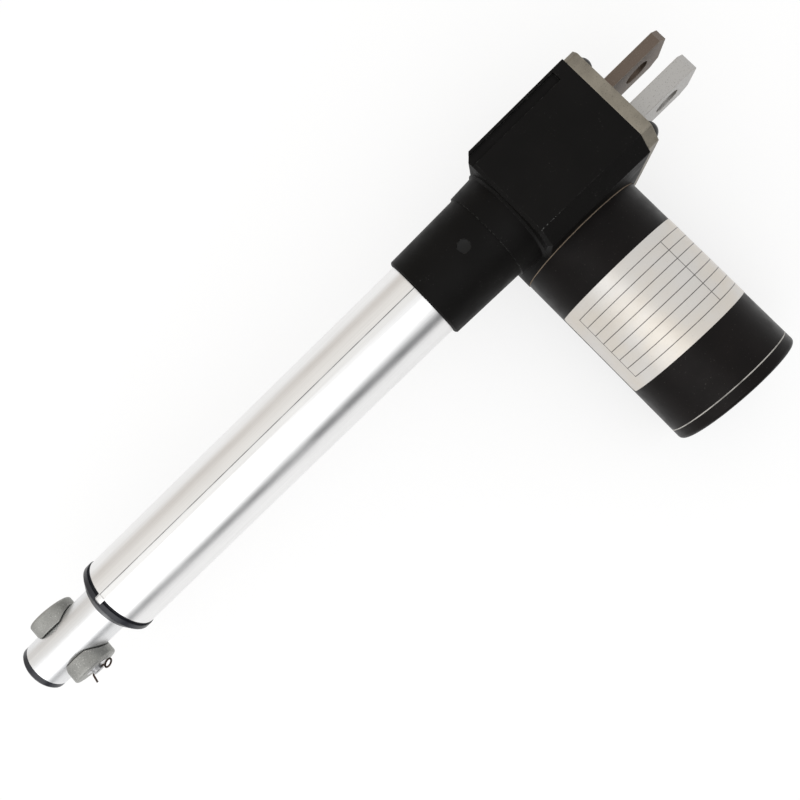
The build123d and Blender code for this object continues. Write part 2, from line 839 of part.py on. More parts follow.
def motor_end_cap():
    spigot_start = can_end_y - cap_spigot_length
    spigot_bore = can_bore_radius - cap_spigot_wall
    boss_radius = motor_bearing_radius + bearing_boss_wall
    body = along_motor(motor_radius, can_end_y, cap_end_y)
    body = fillet(body.edges().group_by(Axis.Y)[-1], cap_edge_radius)
    body += ring_on_motor(can_bore_radius, spigot_bore, spigot_start, can_end_y)
    body += along_motor(boss_radius, cap_bearing_start_y, can_end_y)
    body -= along_motor(motor_bearing_radius, cap_bearing_start_y, cap_bearing_end_y)
    body -= along_motor(shaft_radius + shaft_gap, cap_bearing_end_y, can_end_y + cap_shaft_room)
    for x in bolt_x_places():
        body -= along_y(bolt_radius, spigot_start, cap_end_y, x, motor_z)
        body -= along_y(bolt_head_radius, cap_end_y - bolt_head_height, cap_end_y, x, motor_z)
    return body - inlet_outline(spigot_start, cap_end_y)


def inlet_outline(start, end, grow=0.0):
    """A box with the inlet's outline between two values of Y."""
    half_x = inlet_width / 2 + grow
    half_z = inlet_height / 2 + grow
    z = motor_z - inlet_drop
    return block(motor_x - half_x, motor_x + half_x, start, end, z - half_z, z + half_z)


def power_inlet():
    rear = cap_end_y - inlet_depth
    front = cap_end_y + inlet_flange_thickness
    body = inlet_outline(rear, cap_end_y) + inlet_outline(cap_end_y, front, inlet_flange)
    body -= inlet_outline(rear + inlet_wall, front, -inlet_wall)
    for x in inlet_pin_places():
        body -= along_y(inlet_pin_radius, rear, rear + inlet_wall, x, motor_z - inlet_drop)
    return body


def inlet_pin_places():
    return [motor_x - inlet_pin_spacing / 2, motor_x + inlet_pin_spacing / 2]


def inlet_pins():
    rear = cap_end_y - inlet_depth
    z = motor_z - inlet_drop
    return [along_y(inlet_pin_radius, rear, rear + inlet_pin_length, x, z) for x in inlet_pin_places()]


def motor_bolts():
    """Two long screws that hold the motor together and to the housing."""
    head_y = cap_end_y - bolt_head_height
    bolts = []
    for x in bolt_x_places():
        bolt = along_y(bolt_radius, housing_half_width - bolt_thread_depth, head_y, x, motor_z)
        bolts.append(bolt + along_y(bolt_head_radius, head_y, cap_end_y, x, motor_z))
    return bolts


def motor_shaft():
    body = along_motor(shaft_radius, shaft_end_y + shaft_end_gap, can_end_y + cap_seat_floor)
    ends = body.edges().group_by(Axis.Y)
    return chamfer(ends[0] + ends[-1], shaft_chamfer)


def shaft_bush():
    end_y = shaft_end_y + shaft_bush_length
    return ring_on_motor(shaft_bush_radius, shaft_radius + fit_gap, shaft_end_y, end_y)


def worm():
    """A worm whose thread crest meets the wheel's gap at the top."""
    thread = twisted(Rot(0, 0, -90) * worm_section(), worm_length, 360 * worm_length / worm_lead)
    body = Pos(motor_x, 0, motor_z) * Rot(-90, 0, 0) * thread
    return body - along_motor(shaft_radius, -worm_length / 2, worm_length / 2)


def armature_core():
    body = ring_on_motor(core_radius, shaft_radius, core_start_y, core_end_y)
    half = slot_width / 2
    slot = block(core_radius - slot_depth, core_radius + 1, core_start_y, core_end_y, -half, half)
    for n in range(core_slots):
        body -= Pos(motor_x, 0, motor_z) * Rot(0, n * 360 / core_slots, 0) * slot
    return body


def armature_winding():
    """The turned ends of the coils, in front of and behind the core."""
    ends = []
    for start in (core_start_y - winding_length, core_end_y):
        middle = start + winding_length / 2
        ends.append(
            turned_on_motor(
                (start, winding_inner_radius + winding_lean),
                (start, winding_radius - winding_lean),
                (middle, winding_radius),
                (start + winding_length, winding_radius - winding_lean),
                (start + winding_length, winding_inner_radius),
                (middle, winding_inner_radius),
            )
        )
    return ends


def insulation_sleeves():
    """Sleeves on the shaft that carry the coil ends."""
    starts = (core_start_y - winding_length, core_end_y)
    outer = winding_inner_radius
    return [ring_on_motor(outer, shaft_radius, start, start + winding_length) for start in starts]


def commutator():
    return ring_on_motor(commutator_radius, shaft_radius, commutator_start_y, commutator_end_y)


def save(name, piece):
    """Writes one node. A list of solids is kept as a group."""
    shape = Compound(children=list(piece)) if isinstance(piece, list) else piece
    export_step(shape, f"parts/{name}.step")


def on_screw_outer(start):
    return bearing_outer(start, bearing_width, bearing_outer_radius, screw_radius)


def on_screw_inner(start):
    return bearing_inner(start, bearing_width, screw_radius)


def on_shaft_outer(start):
    return on_motor(bearing_outer(start, motor_bearing_width, motor_bearing_radius, shaft_radius))


def on_shaft_inner(start):
    return on_motor(bearing_inner(start, motor_bearing_width, shaft_radius))


nodes = {
    "gear_housing": gear_housing,
    "rear_clevis": rear_clevis,
    "clevis_screws": clevis_screws,
    "outer_tube": outer_tube,
    "tube_lock_screw": tube_lock_screw,
    "collar_seal": collar_seal,
    "front_guide_ring": front_guide_ring,
    "wiper_seal": wiper_seal,
    "bearing_block": bearing_block,
    "rear_bearing_outer": lambda: on_screw_outer(rear_bearing_x),
    "front_bearing_outer": lambda: on_screw_outer(front_bearing_x),
    "switch_strip": switch_strip,
    "limit_switches": limit_switches,
    "motor_gasket": motor_gasket,
    "motor_can": motor_can,
    "motor_label": motor_label,
    "motor_flange": motor_flange,
    "motor_magnets": motor_magnets,
    "brush_card": brush_card,
    "carbon_brushes": lambda: [brush(-1), brush(1)],
    "motor_end_cap": motor_end_cap,
    "motor_bolts": motor_bolts,
    "power_inlet": power_inlet,
    "inlet_pins": inlet_pins,
    "shaft_bush": shaft_bush,
    "motor_front_bearing_outer": lambda: on_shaft_outer(front_motor_bearing_y),
    "motor_rear_bearing_outer": lambda: on_shaft_outer(cap_bearing_start_y),
    "lead_screw": lead_screw,
    "worm_wheel": worm_wheel,
    "rear_bearing_inner": lambda: on_screw_inner(rear_bearing_x),
    "front_bearing_inner": lambda: on_screw_inner(front_bearing_x),
    "spindle_lock_nut": spindle_lock_nut,
    "spindle_clip": spindle_clip,
    "spindle_stop": spindle_stop,
    "motor_shaft": motor_shaft,
    "worm": worm,
    "armature_core": armature_core,
    "armature_winding": armature_winding,
    "insulation_sleeves": insulation_sleeves,
    "commutator": commutator,
    "motor_front_bearing_inner": lambda: on_shaft_inner(front_motor_bearing_y),
    "motor_rear_bearing_inner": lambda: on_shaft_inner(cap_bearing_start_y),
    "push_rod": push_rod,
    "drive_nut": drive_nut,
    "rod_plug": rod_plug,
    "cross_bush": cross_bush,
    "left_saddle": lambda: rod_saddle(-1),
    "right_saddle": lambda: rod_saddle(1),
    "clevis_pin": clevis_pin,
    "cotter_pin": cotter_pin,
}

os.makedirs("parts", exist_ok=True)
for node_name, make in nodes.items():
    save(node_name, make())
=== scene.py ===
import logging
import math
from dataclasses import dataclass
from enum import Enum

import bpy
from mathutils import Matrix, Vector


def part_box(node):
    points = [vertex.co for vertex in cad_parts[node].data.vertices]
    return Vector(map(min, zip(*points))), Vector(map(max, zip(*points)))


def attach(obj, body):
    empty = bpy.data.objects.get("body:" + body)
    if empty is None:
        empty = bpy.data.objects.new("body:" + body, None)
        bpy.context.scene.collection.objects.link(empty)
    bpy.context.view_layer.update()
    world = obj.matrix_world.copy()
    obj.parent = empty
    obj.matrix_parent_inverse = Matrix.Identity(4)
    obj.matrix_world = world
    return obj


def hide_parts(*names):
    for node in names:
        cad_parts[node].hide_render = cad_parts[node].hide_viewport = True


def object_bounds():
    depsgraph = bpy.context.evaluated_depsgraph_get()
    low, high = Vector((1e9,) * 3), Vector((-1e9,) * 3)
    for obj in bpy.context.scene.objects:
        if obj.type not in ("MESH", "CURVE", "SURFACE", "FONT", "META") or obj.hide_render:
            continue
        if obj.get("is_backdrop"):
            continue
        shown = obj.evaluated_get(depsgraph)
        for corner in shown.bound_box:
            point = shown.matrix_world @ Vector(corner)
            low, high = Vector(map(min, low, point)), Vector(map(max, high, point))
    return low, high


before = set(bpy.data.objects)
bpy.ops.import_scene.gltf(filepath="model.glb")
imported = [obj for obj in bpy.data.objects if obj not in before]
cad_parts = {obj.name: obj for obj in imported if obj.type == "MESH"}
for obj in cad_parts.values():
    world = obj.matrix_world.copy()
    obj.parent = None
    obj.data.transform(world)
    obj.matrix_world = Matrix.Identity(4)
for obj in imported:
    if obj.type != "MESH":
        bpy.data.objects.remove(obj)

MM = 0.001
MERGE = 0.001 * MM
SMOOTH_ANGLE = math.radians(32)
BEVEL_SAMPLES = 6
MIX_FIRST = 6
MIX_SECOND = 7
MIX_RESULT = 2
HEXAGON = 6

Color = tuple[float, float, float]
Point = tuple[float, float, float]
Span = tuple[float, float]

FINISHED: dict[str, bpy.types.Material] = {}

log = logging.getLogger("actuator")


class Along(Enum):
    """The direction in which a surface was drawn, turned or brushed."""

    TUBE = 0
    MOTOR = 1


@dataclass(frozen=True)
class Pattern:
    """A cloudy pattern and the part of its range that is used."""

    size: float
    start: float
    end: float
    low: float = 0.0
    high: float = 1.0
    detail: float = 3.0


class ShaderSheet:
    """The node tree of one finish, filled one step at a time."""

    def __init__(self, name: str) -> None:
        """Starts a material with its shader.

        Args:
            name: The material's name.
        """
        self.material = bpy.data.materials.new(name)
        self.material.use_nodes = True
        self.take(self.material.node_tree, "Principled BSDF")

    def take(self, tree: bpy.types.NodeTree, shader: str) -> None:
        """Takes over a node tree.

        Args:
            tree: The tree to fill.
            shader: The name of its shader node.
        """
        self.nodes = tree.nodes
        self.links = tree.links
        self.shader = self.nodes[shader]

    @classmethod
    def on_tree(cls, tree: bpy.types.NodeTree, shader: str) -> "ShaderSheet":
        """Starts a sheet on a tree that is there already, such as the world's.

        Args:
            tree: The tree to fill.
            shader: The name of its shader node.

        Returns:
            The sheet.
        """
        sheet = cls.__new__(cls)
        sheet.take(tree, shader)
        return sheet

    def add(self, kind: str, **settings: object) -> bpy.types.Node:
        """Adds a node.

        Args:
            kind: The node's type.
            **settings: Attributes of the node.

        Returns:
            The new node.
        """
        node = self.nodes.new(kind)
        for key, value in settings.items():
            setattr(node, key, value)
        return node

    def feed(self, node: bpy.types.Node, socket: str | int, value: object) -> None:
        """Sets an input of a node to a value or to another node's output.

        Args:
            node: The node that takes the value.
            socket: The input's name or number.
            value: A number, a tuple or an output socket.
        """
        if isinstance(value, bpy.types.NodeSocket):
            self.links.new(value, node.inputs[socket])
        else:
            node.inputs[socket].default_value = value

    def place(self, centre: Point = (0, 0, 0), stretch: Point = (1, 1, 1)) -> bpy.types.NodeSocket:
        """Gives positions on the object.

        Args:
            centre: The point that becomes zero, in metres.
            stretch: The scale along each axis, after centring.

        Returns:
            The vector output.
        """
        coordinates = self.add("ShaderNodeTexCoord")
        moved = self.add("ShaderNodeVectorMath", operation="SUBTRACT")
        self.feed(moved, 0, coordinates.outputs["Object"])
        self.feed(moved, 1, centre)
        scaled = self.add("ShaderNodeVectorMath", operation="MULTIPLY")
        self.feed(scaled, 0, moved.outputs[0])
        self.feed(scaled, 1, stretch)
        return scaled.outputs[0]

    def noise(self, place: bpy.types.NodeSocket, size: float, detail: float = 3.0) -> bpy.types.NodeSocket:
        """Gives a cloudy pattern.

        Args:
            place: Positions on the object.
            size: The size of one cloud, in metres.
            detail: How many finer layers it has.

        Returns:
            A value between 0 and 1.
        """
        node = self.add("ShaderNodeTexNoise")
        self.feed(node, "Vector", place)
        self.feed(node, "Scale", 1.0 / size)
        self.feed(node, "Detail", detail)
        return node.outputs["Fac"]

    def remap(
        self,
        value: bpy.types.NodeSocket,
        start: float,
        end: float,
        low: float = 0.0,
        high: float = 1.0,
    ) -> bpy.types.NodeSocket:
        """Maps a range of values smoothly onto another.

        Args:
            value: The value to map.
            start: The input that gives low.
            end: The input that gives high.
            low: The result at start.
            high: The result at end.

        Returns:
            The mapped value.
        """
        node = self.add("ShaderNodeMapRange", interpolation_type="SMOOTHSTEP")
        self.feed(node, "Value", value)
        self.feed(node, "From Min", start)
        self.feed(node, "From Max", end)
        self.feed(node, "To Min", low)
        self.feed(node, "To Max", high)
        return node.outputs["Result"]

    def pattern(
        self, place: bpy.types.NodeSocket, pattern: Pattern, high: float | None = None
    ) -> bpy.types.NodeSocket:
        """Lays a cloudy pattern over the object.

        Args:
            place: Positions on the object.
            pattern: The pattern.
            high: The result at the pattern's end, if it isn't the pattern's own.

        Returns:
            The mapped pattern.
        """
        noise = self.noise(place, pattern.size, pattern.detail)
        top = pattern.high if high is None else high
        return self.remap(noise, pattern.start, pattern.end, pattern.low, top)

    def split(self, vector: bpy.types.NodeSocket) -> bpy.types.Node:
        """Splits a vector.

        Args:
            vector: The vector.

        Returns:
            The node, whose outputs are X, Y and Z.
        """
        parts = self.add("ShaderNodeSeparateXYZ")
        self.feed(parts, 0, vector)
        return parts

    def distance(self, value: bpy.types.NodeSocket, centre: float) -> bpy.types.NodeSocket:
        """Gives how far a value is from a centre.

        Args:
            value: The value.
            centre: The centre.

        Returns:
            The distance, never below 0.
        """
        return self.sum("ABSOLUTE", self.sum("SUBTRACT", value, centre))

    def sum(self, operation: str, first: object, second: object = 0.0) -> bpy.types.NodeSocket:
        """Works out one arithmetic step.

        Args:
            operation: The name of the step.
            first: A number or an output.
            second: A number or an output.

        Returns:
            The result.
        """
        node = self.add("ShaderNodeMath", operation=operation)
        self.feed(node, 0, first)
        self.feed(node, 1, second)
        return node.outputs[0]

    def times(self, first: bpy.types.NodeSocket, *others: bpy.types.NodeSocket) -> bpy.types.NodeSocket:
        """Multiplies masks.

        Args:
            first: The first mask.
            *others: The other masks.

        Returns:
            The product.
        """
        result = first
        for other in others:
            result = self.sum("MULTIPLY", result, other)
        return result

    def blend(self, share: object, first: object, second: object) -> bpy.types.NodeSocket:
        """Mixes two colours.

        Args:
            share: How much of the second colour shows.
            first: A colour or an output.
            second: A colour or an output.

        Returns:
            The mixed colour.
        """
        node = self.add("ShaderNodeMix", data_type="RGBA")
        self.feed(node, "Factor", share)
        for socket, value in ((MIX_FIRST, first), (MIX_SECOND, second)):
            self.feed(node, socket, (*value, 1.0) if isinstance(value, tuple) else value)
        return node.outputs[MIX_RESULT]

    def edges(self, radius: float) -> bpy.types.NodeSocket:
        """Finds the edges of the piece.

        Args:
            radius: How far from an edge it reaches, in metres.

        Returns:
            A value that is 0 on faces and rises at edges.
        """
        rounded = self.add("ShaderNodeBevel", samples=BEVEL_SAMPLES)
        self.feed(rounded, "Radius", radius)
        flat = self.add("ShaderNodeNewGeometry")
        dot = self.add("ShaderNodeVectorMath", operation="DOT_PRODUCT")
        self.feed(dot, 0, rounded.outputs[0])
        self.feed(dot, 1, flat.outputs["Normal"])
        return self.sum("SUBTRACT", 1.0, dot.outputs["Value"])

    def relief(self, height: bpy.types.NodeSocket, depth: float, round_edges: float = 0.0) -> None:
        """Gives the surface a fine relief.

        Args:
            height: The relief's height, between 0 and 1.
            depth: The relief's depth, in metres.
            round_edges: The radius to which edges are softened, in metres.
        """
        node = self.add("ShaderNodeBump")
        self.feed(node, "Strength", 1.0)
        self.feed(node, "Distance", depth)
        self.feed(node, "Height", height)
        if round_edges:
            rounded = self.add("ShaderNodeBevel", samples=BEVEL_SAMPLES)
            self.feed(rounded, "Radius", round_edges)
            self.feed(node, "Normal", rounded.outputs[0])
        self.feed(self.shader, "Normal", node.outputs[0])


@dataclass(frozen=True)
class Finish:
    """What every finish states."""

    name: str
    color: Color
    roughness: float = 0.45
    shine: float = 0.5
    metallic: float = 0.0
    rough: Pattern = Pattern(6 * MM, 0.25, 0.75, -0.05, 0.07)

    def material(self) -> bpy.types.Material:
        """Returns the finish's material, made once."""
        if self.name not in FINISHED:
            sheet = ShaderSheet(self.name)
            sheet.feed(sheet.shader, "Specular IOR Level", self.shine)
            sheet.feed(sheet.shader, "Metallic", self.metallic)
            self.paint(sheet)
            FINISHED[self.name] = sheet.material
        return FINISHED[self.name]

    def shade(self, share: float) -> Color:
        """Returns the finish's colour, lighter or darker.

        Args:
            share: The factor on each part of the colour.
        """
        return tuple(min(1.0, share * part) for part in self.color)

    def roughen(self, sheet: ShaderSheet, place: bpy.types.NodeSocket) -> None:
        """Lets the roughness drift in clouds round its own value.

        Args:
            sheet: The node tree.
            place: Positions on the object.
        """
        noise = sheet.noise(place, self.rough.size, self.rough.detail)
        low = self.roughness + self.rough.low
        high = self.roughness + self.rough.high
        rough = sheet.remap(noise, self.rough.start, self.rough.end, low, high)
        sheet.feed(sheet.shader, "Roughness", rough)

    def paint(self, sheet: ShaderSheet) -> None:
        """Fills the sheet.

        Args:
            sheet: The node tree with only its shader.
        """
        raise NotImplementedError


@dataclass(frozen=True)
class Moulded(Finish):
    """Moulded plastic or rubber with a fine grain, cloudy tone, dust and scuffed edges."""

    grain: float = 0.35 * MM
    grain_depth: float = 0.01 * MM
    dust: Color = (0.16, 0.155, 0.15)
    dust_share: float = 0.22
    scuff: Color = (0.12, 0.115, 0.11)
    scuff_share: float = 0.35
    soft_edge: float = 0.5 * MM
    chipped_at: Point | None = None
    chip_reach: float = 7 * MM
    chip: Color = (0.35, 0.35, 0.34)
    cloud: Pattern = Pattern(18 * MM, 0.3, 0.7, high=0.6)
    cloud_shade: float = 1.5
    dust_patch: Pattern = Pattern(9 * MM, 0.48, 0.66)
    dust_fleck: Pattern = Pattern(0.55 * MM, 0.7, 0.78, detail=1.0)
    rub: Pattern = Pattern(1.4 * MM, 0.45, 0.7, detail=4.0)
    chipping: Pattern = Pattern(1.1 * MM, 0.52, 0.6)
    edge_span: Span = (0.02, 0.12)

    def chips(
        self, sheet: ShaderSheet, edge: bpy.types.NodeSocket, base: bpy.types.NodeSocket
    ) -> bpy.types.NodeSocket:
        """Adds pale chips to the edges near one spot.

        Args:
            sheet: The node tree.
            edge: The mask of the piece's edges.
            base: The colour under the chips.

        Returns:
            The colour with the chips.
        """
        away = sheet.add("ShaderNodeVectorMath", operation="LENGTH")
        sheet.feed(away, 0, sheet.place(self.chipped_at))
        near = sheet.remap(away.outputs["Value"], self.chip_reach, 0.4 * self.chip_reach)
        broken = sheet.pattern(sheet.place(), self.chipping)
        return sheet.blend(sheet.times(near, broken, edge), base, self.chip)

    def paint(self, sheet: ShaderSheet) -> None:
        """Fills the sheet.

        Args:
            sheet: The node tree with only its shader.
        """
        place = sheet.place()
        base = sheet.blend(sheet.pattern(place, self.cloud), self.color, self.shade(self.cloud_shade))
        patch = sheet.pattern(place, self.dust_patch)
        fleck = sheet.pattern(place, self.dust_fleck, self.dust_share)
        dusty = sheet.blend(sheet.times(fleck, patch), base, self.dust)
        edge = sheet.remap(sheet.edges(self.soft_edge), *self.edge_span)
        rubbed = sheet.pattern(place, self.rub, self.scuff_share)
        color = sheet.blend(sheet.times(rubbed, edge), dusty, self.scuff)
        if self.chipped_at:
            color = self.chips(sheet, edge, color)
        sheet.feed(sheet.shader, "Base Color", color)
        self.roughen(sheet, place)
        sheet.relief(sheet.noise(place, self.grain, 2.0), self.grain_depth, self.soft_edge)


@dataclass(frozen=True)
class Drawn(Finish):
    """Metal with fine lines along one axis, as drawn and turned pieces have."""

    metallic: float = 1.0
    along: Along = Along.TUBE
    line: float = 0.35 * MM
    line_depth: float = 0.0015 * MM
    soft_edge: float = 0.25 * MM
    shaded_groove_y: float | None = None
    corner_half: float = 0.22 * MM
    line_stretch: float = 0.01
    line_detail: float = 4.0
    line_span: Span = (0.3, 0.7)
    line_share: float = 0.5
    line_shade: float = 0.88
    stain: Pattern = Pattern(30 * MM, 0.5, 0.75, high=0.35, detail=4.0)
    stain_shade: float = 0.9
    speck: Pattern = Pattern(0.8 * MM, 0.74, 0.8, high=0.3, detail=2.0)
    speck_shade: float = 0.55
    groove_shade_breakup: Pattern = Pattern(12 * MM, 0.25, 0.6, 0.5, 0.9)
    groove_shade_factor: float = 0.16
    rough: Pattern = Pattern(25 * MM, 0.3, 0.7, -0.03, 0.04)

    def corner(self, sheet: ShaderSheet, base: bpy.types.NodeSocket) -> bpy.types.NodeSocket:
        """Paints a darker, broken line of shade into the corner of the groove on the upper side (painted
        shade).

        Args:
            sheet: The node tree.
            base: The colour under the painted shade.

        Returns:
            The colour with the painted shade.
        """
        parts = sheet.split(sheet.place())
        off = sheet.distance(parts.outputs["Y"], self.shaded_groove_y)
        line = sheet.remap(off, self.corner_half, 0.4 * self.corner_half)
        upper = sheet.sum("GREATER_THAN", parts.outputs["Z"], 0.0)
        uneven = sheet.pattern(sheet.place(), self.groove_shade_breakup)
        return sheet.blend(sheet.times(line, upper, uneven), base, self.shade(self.groove_shade_factor))

    def paint(self, sheet: ShaderSheet) -> None:
        """Fills the sheet.

        Args:
            sheet: The node tree with only its shader.
        """
        stretch = [1.0, 1.0, 1.0]
        stretch[self.along.value] = self.line_stretch
        place = sheet.place()
        lines = sheet.noise(sheet.place(stretch=tuple(stretch)), self.line, self.line_detail)
        tone = sheet.remap(lines, *self.line_span, 0.0, self.line_share)
        base = sheet.blend(tone, self.color, self.shade(self.line_shade))
        dull = sheet.blend(sheet.pattern(place, self.stain), base, self.shade(self.stain_shade))
        color = sheet.blend(sheet.pattern(place, self.speck), dull, self.shade(self.speck_shade))
        # painted shade line along the groove's upper corner
        if self.shaded_groove_y is not None:
            color = self.corner(sheet, color)
        sheet.feed(sheet.shader, "Base Color", color)
        self.roughen(sheet, place)
        sheet.relief(lines, self.line_depth, self.soft_edge)


@dataclass(frozen=True)
class Cast(Finish):
    """Die-cast or sintered metal with a sandy skin, glossier flecks painted lighter as glints, and rubbed
    edges.
    """

    roughness: float = 0.45
    metallic: float = 0.85
    grain: float = 0.6 * MM
    grain_depth: float = 0.045 * MM
    soft_edge: float = 0.5 * MM
    edge_light: float = 0.5
    sparkle: float = 0.5
    cloud: Pattern = Pattern(7 * MM, 0.3, 0.7)
    cloud_shade: float = 0.78
    pore_size: float = 1.2
    pore_shade: float = 0.3
    fleck_centre: Point = (0.1, 0.2, 0.3)
    fleck_size: float = 0.9
    glint_shade: float = 1.9
    fleck_matt: float = 0.06
    fleck_gloss: float = 0.1
    edge_span: Span = (0.03, 0.15)
    edge_shade: float = 1.6

    def tone(self, sheet: ShaderSheet) -> bpy.types.NodeSocket:
        """Gives the casting's cloudy ground colour.

        Args:
            sheet: The node tree.

        Returns:
            The colour.
        """
        cloud = sheet.pattern(sheet.place(), self.cloud)
        return sheet.blend(cloud, self.shade(self.cloud_shade), self.color)

    def paint(self, sheet: ShaderSheet) -> None:
        """Fills the sheet.

        Args:
            sheet: The node tree with only its shader.
        """
        place = sheet.place()
        ground = self.tone(sheet)
        pores = Pattern(self.pore_size * self.grain, 0.58, 0.74, high=0.6)
        pitted = sheet.blend(sheet.pattern(place, pores), ground, self.shade(self.pore_shade))
        # flecks: glossier spots (real roughness) painted lighter as sparkle (painted highlight)
        flecks = Pattern(self.fleck_size * self.grain, 0.6, 0.7, high=self.sparkle, detail=2.0)
        fleck = sheet.pattern(sheet.place(self.fleck_centre), flecks)
        glinted = sheet.blend(fleck, pitted, self.shade(self.glint_shade))
        edge = sheet.remap(sheet.edges(self.soft_edge), *self.edge_span, 0.0, self.edge_light)
        sheet.feed(sheet.shader, "Base Color", sheet.blend(edge, glinted, self.shade(self.edge_shade)))
        matt = self.roughness + self.fleck_matt
        gloss = self.roughness - self.fleck_gloss
        sheet.feed(sheet.shader, "Roughness", sheet.remap(fleck, 0.0, self.sparkle, matt, gloss))
        sheet.relief(sheet.noise(place, self.grain, 4.0), self.grain_depth, self.soft_edge)


@dataclass(frozen=True)
class EarCasting(Cast):
    """The clevis casting: a tarnished plate, a far ear darkened with painted shade and an ear on the motor's
    side lightened with painted light.
    """

    # painted shade for the far ear and painted light for the ear on the motor's side
    shaded_ear_color: Color = (0.145, 0.112, 0.09)
    lit_ear_color: Color = (0.45, 0.44, 0.425)
    plate_back: float = 21.1 * MM
    plate_fade: float = 2 * MM
    ear_turn: float = 4 * MM
    ear_drift: Pattern = Pattern(9 * MM, 0.2, 0.8, -0.25, 0.25)
    cloud: Pattern = Pattern(8 * MM, 0.3, 0.7)
    cloud_shade: float = 0.75

    def tone(self, sheet: ShaderSheet) -> bpy.types.NodeSocket:
        """Gives the casting's ground colour, with painted shade on the far ear and painted light on the ear
        on the motor's side.

        Args:
            sheet: The node tree.

        Returns:
            The colour.
        """
        parts = sheet.split(sheet.place())
        drift = sheet.pattern(sheet.place(), self.ear_drift)
        side = sheet.sum("DIVIDE", parts.outputs["Y"], self.ear_turn)
        # painted shade on the far ear (negative Y) turns into painted light on the near ear
        ear = sheet.blend(sheet.remap(sheet.sum("ADD", side, drift), -1.0, 1.0), self.shaded_ear_color, self.lit_ear_color)
        share = sheet.remap(parts.outputs["X"], self.plate_back - self.plate_fade, self.plate_back)
        return sheet.blend(share, ear, super().tone(sheet))


@dataclass(frozen=True)
class Enamel(Finish):
    """Paint on drawn steel with a faint orange peel, dust and rubbed edges, and a pale line painted at
    rim_at as the joint's highlight.
    """

    peel: float = 1.6 * MM
    peel_depth: float = 0.005 * MM
    bare: Color = (0.5, 0.48, 0.45)
    bare_share: float = 0.35
    dust: Color = (0.14, 0.13, 0.12)
    soft_edge: float = 0.35 * MM
    rim_at: float | None = None
    rim_half: float = 0.28 * MM
    cloud: Pattern = Pattern(14 * MM, 0.3, 0.7)
    cloud_shade: float = 1.5
    dust_fleck: Pattern = Pattern(0.6 * MM, 0.71, 0.78, high=0.2, detail=1.0)
    rub: Pattern = Pattern(4 * MM, 0.4, 0.65, detail=4.0)
    rim_highlight_breakup: Pattern = Pattern(6 * MM, 0.25, 0.6, 0.45, 1.0)
    edge_span: Span = (0.05, 0.16)
    rough: Pattern = Pattern(5 * MM, 0.3, 0.7, -0.04, 0.06)

    def paint(self, sheet: ShaderSheet) -> None:
        """Fills the sheet.

        Args:
            sheet: The node tree with only its shader.
        """
        place = sheet.place()
        base = sheet.blend(sheet.pattern(place, self.cloud), self.color, self.shade(self.cloud_shade))
        dusty = sheet.blend(sheet.pattern(place, self.dust_fleck), base, self.dust)
        edge = sheet.remap(sheet.edges(self.soft_edge), *self.edge_span)
        broken = sheet.pattern(place, self.rub, self.bare_share)
        color = sheet.blend(sheet.times(edge, broken), dusty, self.bare)
        # pale line along the can-to-cap joint in the bare colour: painted highlight of the joint's edge,
        # broken up by noise
        if self.rim_at is not None:
            off = sheet.distance(sheet.split(place).outputs["Y"], self.rim_at)
            rim = sheet.remap(off, self.rim_half, 0.6 * self.rim_half)
            color = sheet.blend(sheet.times(rim, sheet.pattern(place, self.rim_highlight_breakup)), color, self.bare)
        sheet.feed(sheet.shader, "Base Color", color)
        self.roughen(sheet, place)
        sheet.relief(sheet.noise(place, self.peel, 2.0), self.peel_depth, self.soft_edge)


